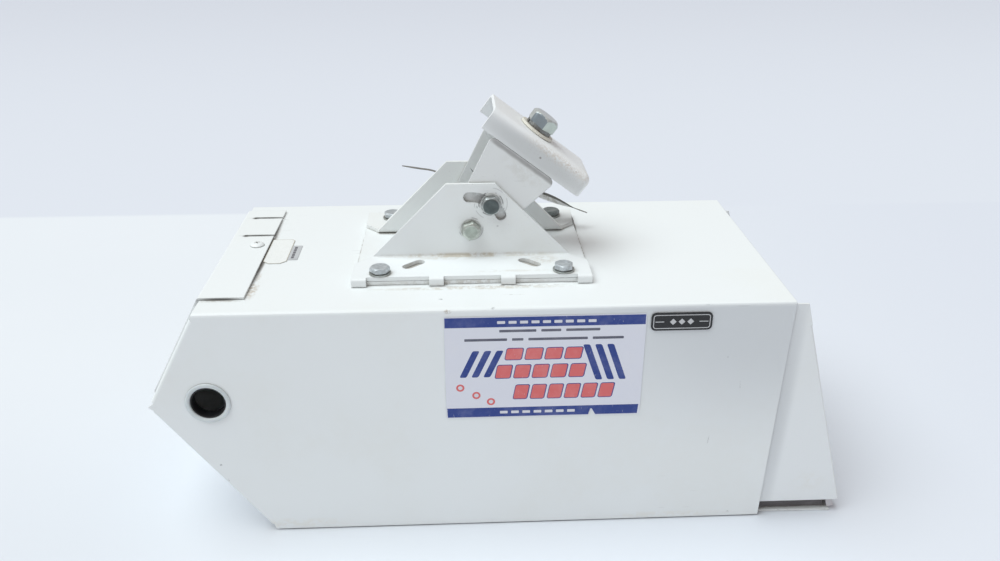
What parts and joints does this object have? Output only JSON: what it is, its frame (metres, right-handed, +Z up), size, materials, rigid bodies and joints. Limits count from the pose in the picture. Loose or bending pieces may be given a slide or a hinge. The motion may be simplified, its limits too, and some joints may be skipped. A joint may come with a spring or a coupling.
{
  "type": "outdoor camera housing",
  "caption": "Outdoor camera housing of folded white sheet steel, lying on its roof, with a tilt and swivel mounting head bolted to its floor.",
  "frame": {"origin": "bottom centre of the whole object, on the surface that the roof rests on", "axes": "+X from the rear cover to the window end, +Y from the side with the cable hole to the plain side, +Z up from the roof to the housing's floor and its mounting head (the housing lies upside down)"},
  "size_m": [0.5198, 0.2175, 0.3054],
  "materials": {
    "white_paint": "semi-gloss white powder coat, weathered",
    "zinc_steel": "dull zinc plate",
    "white_nylon": "smooth moulded nylon",
    "black_rubber": "matt closed-cell sponge",
    "window_glass": "clear float glass",
    "label_film": "printed film",
    "black_plate": "smooth black plate",
    "old_label": "yellowed paper label",
    "galvanised": "galvanised sheet",
    "heater_alloy": "gold anodised extrusion",
    "black_plastic": "moulded phenolic",
    "ivory_plastic": "moulded polyamide"
  },
  "bodies": {
    "housing": {"base_bolt_1": "zinc_steel", "base_bolt_2": "zinc_steel", "base_bolt_3": "zinc_steel", "base_bolt_4": "zinc_steel", "base_nut_1": "zinc_steel", "base_nut_2": "zinc_steel", "base_nut_3": "zinc_steel", "base_nut_4": "zinc_steel", "base_plate": "white_paint", "base_washer_1": "zinc_steel", "base_washer_2": "zinc_steel", "base_washer_3": "zinc_steel", "base_washer_4": "zinc_steel", "body_shell": "white_paint", "cover_screw": "zinc_steel", "far_bracket": "white_paint", "floor_label": "old_label", "front_hood": "white_paint", "heater": "heater_alloy", "hood_seal_far": "black_rubber", "hood_seal_front": "black_rubber", "hood_seal_near": "black_rubber", "name_plate": "black_plate", "near_bracket": "white_paint", "pivot_bolt": "zinc_steel", "pivot_nut": "zinc_steel", "pivot_washer": "zinc_steel", "rear_cover": "white_paint", "roof_lid": "white_paint", "side_bushing": "white_nylon", "side_label": "label_film", "sled_rail_far": "galvanised", "sled_rail_near": "galvanised", "terminal_block": "ivory_plastic", "thermostat": "black_plastic", "tie_wire": "zinc_steel", "window_clip_far": "zinc_steel", "window_clip_near": "zinc_steel", "window_gasket": "black_rubber", "window_glass": "window_glass"},
    "clevis": {"clevis": "white_paint", "lock_washer": "zinc_steel", "lock_bolt": "zinc_steel", "lock_nut": "zinc_steel", "swivel_bolt": "zinc_steel", "swivel_washer": "zinc_steel", "swivel_lock_washer": "zinc_steel", "swivel_nut": "zinc_steel"},
    "swivel_cap": {"swivel_cap": "white_paint"},
    "camera_sled": {"camera_sled": "galvanised", "camera_screw": "zinc_steel"}
  },
  "joints": [
    {"name": "tilt", "type": "hinge", "parent": "housing", "child": "clevis", "pos_m": [-0.0242, 0.00115, 0.2144], "axis": [0, 1, 0], "range_deg": [-40, 28]},
    {"name": "swivel", "type": "hinge", "parent": "clevis", "child": "swivel_cap", "pos_m": [0.01793, 0.00115, 0.27031], "axis": [0.6018, 0, 0.7986], "continuous": true},
    {"name": "sled_slide", "type": "slide", "parent": "housing", "child": "camera_sled", "axis": [1, 0, 0], "range_m": [-0.04, 0.04]}
  ]
}
